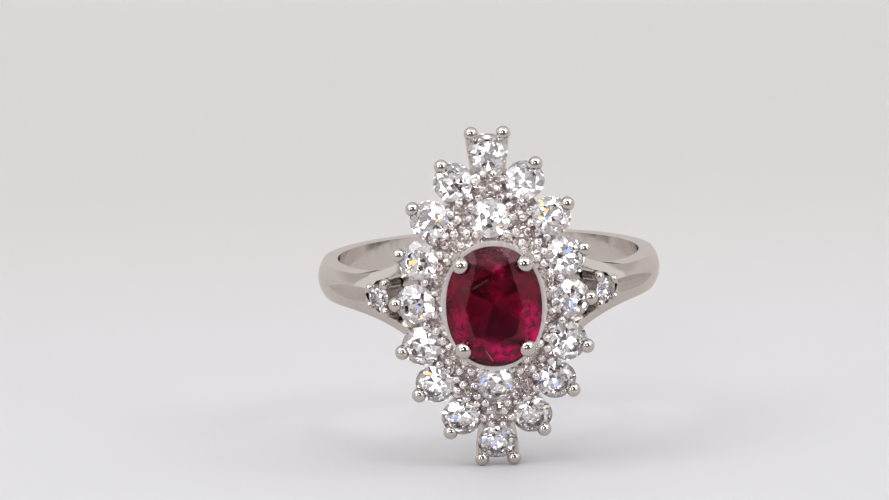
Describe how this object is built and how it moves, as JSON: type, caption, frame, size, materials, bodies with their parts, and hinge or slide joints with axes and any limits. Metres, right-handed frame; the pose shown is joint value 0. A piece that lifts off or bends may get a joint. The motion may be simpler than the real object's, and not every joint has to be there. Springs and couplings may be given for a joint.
{
  "type": "cocktail ring",
  "caption": "Navette cluster cocktail ring: an oval red stone in a claw basket, ringed by round brilliants in tapered collets, on a split-shoulder polished shank.",
  "frame": {"origin": "centre of the finger hole, on its axis, in the middle of the shank's width", "axes": "+Z along the finger hole, +X to the wearer's right when the head is seen from the front, the head faces -Y"},
  "size_m": [0.0186, 0.0232, 0.0182],
  "materials": {
    "platinum": "polished, slightly warm white metal",
    "diamond": "clear, faceted",
    "ruby": "deep red, transparent, faceted"
  },
  "bodies": {
    "root": {"base_rail": "platinum", "bead_prongs_left": "platinum", "bead_prongs_lower": "platinum", "bead_prongs_right": "platinum", "bead_prongs_upper": "platinum", "collet_bottom": "platinum", "collet_inner_bottom": "platinum", "collet_inner_top": "platinum", "collet_left_1": "platinum", "collet_left_2": "platinum", "collet_left_3": "platinum", "collet_left_4": "platinum", "collet_left_5": "platinum", "collet_left_6": "platinum", "collet_left_7": "platinum", "collet_right_1": "platinum", "collet_right_2": "platinum", "collet_right_3": "platinum", "collet_right_4": "platinum", "collet_right_5": "platinum", "collet_right_6": "platinum", "collet_right_7": "platinum", "collet_top": "platinum", "diamond_bottom": "diamond", "diamond_inner_bottom": "diamond", "diamond_inner_top": "diamond", "diamond_left_1": "diamond", "diamond_left_2": "diamond", "diamond_left_3": "diamond", "diamond_left_4": "diamond", "diamond_left_5": "diamond", "diamond_left_6": "diamond", "diamond_left_7": "diamond", "diamond_right_1": "diamond", "diamond_right_2": "diamond", "diamond_right_3": "diamond", "diamond_right_4": "diamond", "diamond_right_5": "diamond", "diamond_right_6": "diamond", "diamond_right_7": "diamond", "diamond_top": "diamond", "gallery_rail": "platinum", "outer_prongs_left": "platinum", "outer_prongs_right": "platinum", "ruby": "ruby", "ruby_base_ring": "platinum", "ruby_collet": "platinum", "ruby_prongs": "platinum", "setting_plate": "platinum", "shank": "platinum", "shoulder_collet_left": "platinum", "shoulder_collet_right": "platinum", "shoulder_diamond_left": "diamond", "shoulder_diamond_right": "diamond", "shoulder_prongs_left": "platinum", "shoulder_prongs_right": "platinum", "tip_prongs_bottom": "platinum", "tip_prongs_top": "platinum"}
  },
  "joints": []
}
